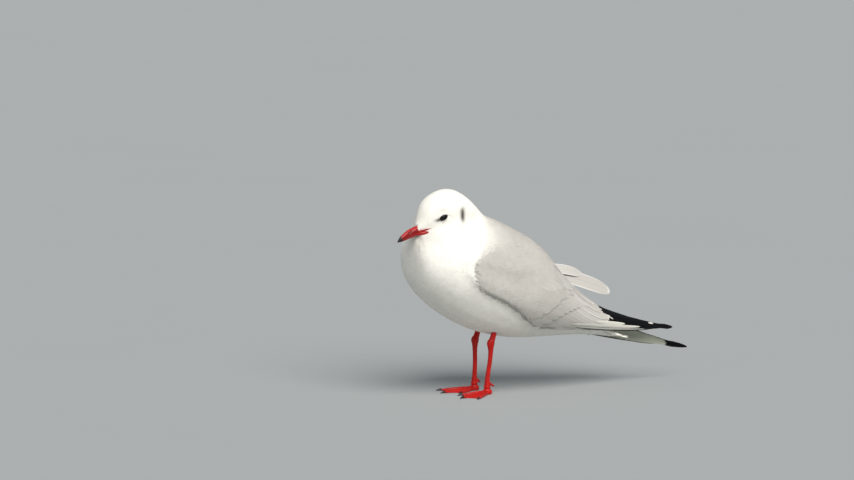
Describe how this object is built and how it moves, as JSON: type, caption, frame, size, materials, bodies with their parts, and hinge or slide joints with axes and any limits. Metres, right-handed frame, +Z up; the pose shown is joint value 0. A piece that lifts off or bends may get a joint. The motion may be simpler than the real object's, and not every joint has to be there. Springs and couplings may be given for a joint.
{
  "type": "black-headed gull model",
  "caption": "Life-size still model of a small gull in winter plumage, standing at rest with folded wings and its head turned to its left.",
  "frame": {"origin": "on the floor, at the centre of the model's bounding box in plan", "axes": "-X is the way the body faces, so +X runs to the wing tips; -Y is the bird's left side; +Z is up"},
  "size_m": [0.3514, 0.1142, 0.2227],
  "materials": {
    "white_feathers": "soft matt white plumage",
    "grey_feathers": "soft matt pale grey plumage with paler feather edges",
    "black_feathers": "smooth black flight feathers with a slight sheen",
    "bill_horn": "dark red horn with a black tip",
    "eye": "dark brown, wet and glossy",
    "leg_skin": "red scaled skin, slightly glossy",
    "claw_horn": "black horn"
  },
  "bodies": {
    "root": {"head": "white_feathers", "neck": "white_feathers", "trunk": "white_feathers", "tail": "white_feathers", "mantle": "grey_feathers", "wing_left": "grey_feathers", "wing_right": "grey_feathers", "secondaries_left": "grey_feathers", "secondaries_right": "grey_feathers", "tertials_right": "grey_feathers", "primaries_left": "black_feathers", "primaries_right": "black_feathers", "bill_upper": "bill_horn", "bill_lower": "bill_horn", "eye_left": "eye", "eye_right": "eye", "shank_left": "leg_skin", "shank_right": "leg_skin", "tarsus_left": "leg_skin", "tarsus_right": "leg_skin", "foot_left": "leg_skin", "foot_right": "leg_skin", "hallux_left": "leg_skin", "hallux_right": "leg_skin", "claw_left_inner": "claw_horn", "claw_left_middle": "claw_horn", "claw_left_outer": "claw_horn", "claw_right_inner": "claw_horn", "claw_right_middle": "claw_horn", "claw_right_outer": "claw_horn"}
  },
  "joints": []
}
